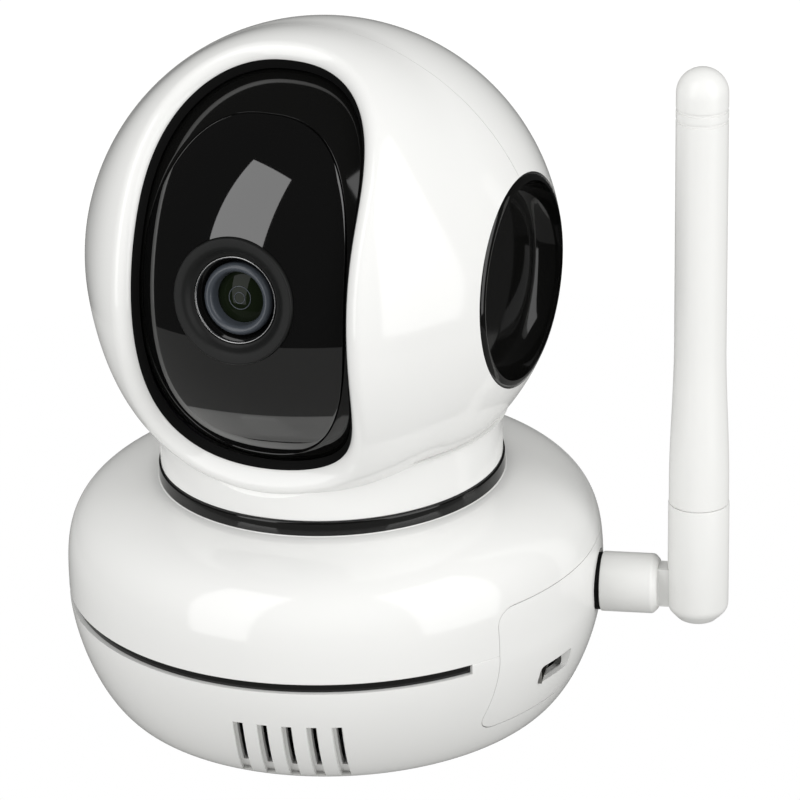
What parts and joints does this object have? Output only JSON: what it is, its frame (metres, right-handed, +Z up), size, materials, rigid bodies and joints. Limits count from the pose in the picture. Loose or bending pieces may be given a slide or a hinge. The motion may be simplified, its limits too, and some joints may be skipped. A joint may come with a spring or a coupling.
{
  "type": "baby monitor camera",
  "caption": "Desk baby monitor camera: round vented base, head that pans, camera ball that tilts in an oval face opening, black side caps and a hinged antenna at the back.",
  "frame": {"origin": "middle of the flat underside of the rubber foot, on the pan axis", "axes": "+Z up, -Y to the front of the base, +Y to the antenna and the rear panel; at rest the head is panned 77 degrees towards +X"},
  "size_m": [0.0844, 0.105, 0.1109],
  "materials": {
    "white_gloss": "glossy moulded ABS",
    "black_gloss": "glossy moulded ABS",
    "black_matte": "fine texture",
    "bezel_grey": "satin",
    "trim_ring": "satin, anodised look",
    "smoked_window": "polished, infrared-clear",
    "lens_glass": "coated",
    "clear_resin": "clear",
    "screw_steel": "zinc plated",
    "foot_rubber": "matte",
    "circuit_board": "solder mask",
    "tin_plate": "tin plated",
    "speaker_film": "doped film",
    "grey_plastic": "moulded",
    "acetal": "natural acetal",
    "brass_fitting": "turned",
    "antenna_white": "satin moulded"
  },
  "bodies": {
    "base": {"base_lower_shell": "white_gloss", "base_upper_shell": "white_gloss", "groove_band": "black_gloss", "base_screws": "screw_steel", "foot_pad": "foot_rubber", "rear_panel": "white_gloss", "main_board": "circuit_board", "radio_shield": "tin_plate", "pair_switch": "black_matte", "usb_socket": "tin_plate", "speaker_frame": "black_matte", "speaker_cone": "speaker_film", "pan_deck": "grey_plastic", "bearing_ring": "acetal", "pan_motor": "tin_plate", "antenna_bushing": "black_matte", "antenna_nut": "brass_fitting"},
    "head": {"turntable": "black_gloss", "pan_gear": "acetal", "gear_screws": "screw_steel", "head_front_shell": "white_gloss", "head_rear_shell": "white_gloss", "opening_liner": "black_matte", "neck_collar": "white_gloss", "ear_cap_left": "black_gloss", "ear_cap_right": "black_gloss", "tilt_bracket_left": "grey_plastic", "tilt_bracket_right": "grey_plastic", "tilt_bushes": "acetal", "tilt_gear": "acetal"},
    "camera_ball": {"ball_front_shell": "black_gloss", "ball_rear_shell": "black_gloss", "window": "smoked_window", "tilt_axles": "screw_steel", "lens_bezel": "bezel_grey", "lens_barrel": "black_matte", "lens_trim_ring": "trim_ring", "lens_glass": "lens_glass", "relay_lens": "lens_glass", "image_board": "circuit_board", "image_sensor": "black_matte", "led_board": "circuit_board", "infrared_leds": "clear_resin", "microphone": "tin_plate", "tilt_motor": "tin_plate"},
    "pan_drive_pinion": {"pan_pinion": "acetal"},
    "tilt_drive_pinion": {"tilt_pinion": "acetal"},
    "swivel": {"antenna_knuckle": "antenna_white"},
    "whip": {"antenna_sleeve": "antenna_white", "hinge_pin": "screw_steel", "antenna_whip": "antenna_white", "antenna_radiator": "brass_fitting"},
    "button": {"pair_button": "white_gloss"}
  },
  "joints": [
    {"name": "pan", "type": "hinge", "parent": "base", "child": "head", "pos_m": [0, 0, 0.0732], "axis": [0, 0, 1], "range_deg": [-247, 93]},
    {"name": "tilt", "type": "hinge", "parent": "head", "child": "camera_ball", "pos_m": [0, 0, 0.0732], "axis": [-0.225, -0.9744, 0], "range_deg": [-34, 49]},
    {"name": "pan_pinion_spin", "type": "hinge", "parent": "base", "child": "pan_drive_pinion", "pos_m": [0, -0.01812, 0.0295], "axis": [0, 0, 1], "range_deg": [-470, 1240]},
    {"name": "tilt_pinion_spin", "type": "hinge", "parent": "camera_ball", "child": "tilt_drive_pinion", "pos_m": [-0.0198, -0.01924, 0.07107], "axis": [-0.225, -0.9744, 0], "range_deg": [-140, 200]},
    {"name": "antenna_swivel", "type": "hinge", "parent": "base", "child": "swivel", "pos_m": [0, 0.0428, 0.0201], "axis": [0, 1, 0], "range_deg": [-90, 90]},
    {"name": "antenna_fold", "type": "hinge", "parent": "swivel", "child": "whip", "pos_m": [0, 0.0575, 0.0201], "axis": [1, 0, 0], "range_deg": [-89, 0.95]},
    {"name": "pair_press", "type": "slide", "parent": "base", "child": "button", "axis": [0, -1, 0], "range_m": [0, 0.0008], "stiffness_N_per_m": 400}
  ],
  "couplings": [
    {"joint": "pan_pinion_spin", "follows": "pan", "ratio": -5},
    {"joint": "tilt_pinion_spin", "follows": "tilt", "ratio": 4}
  ]
}
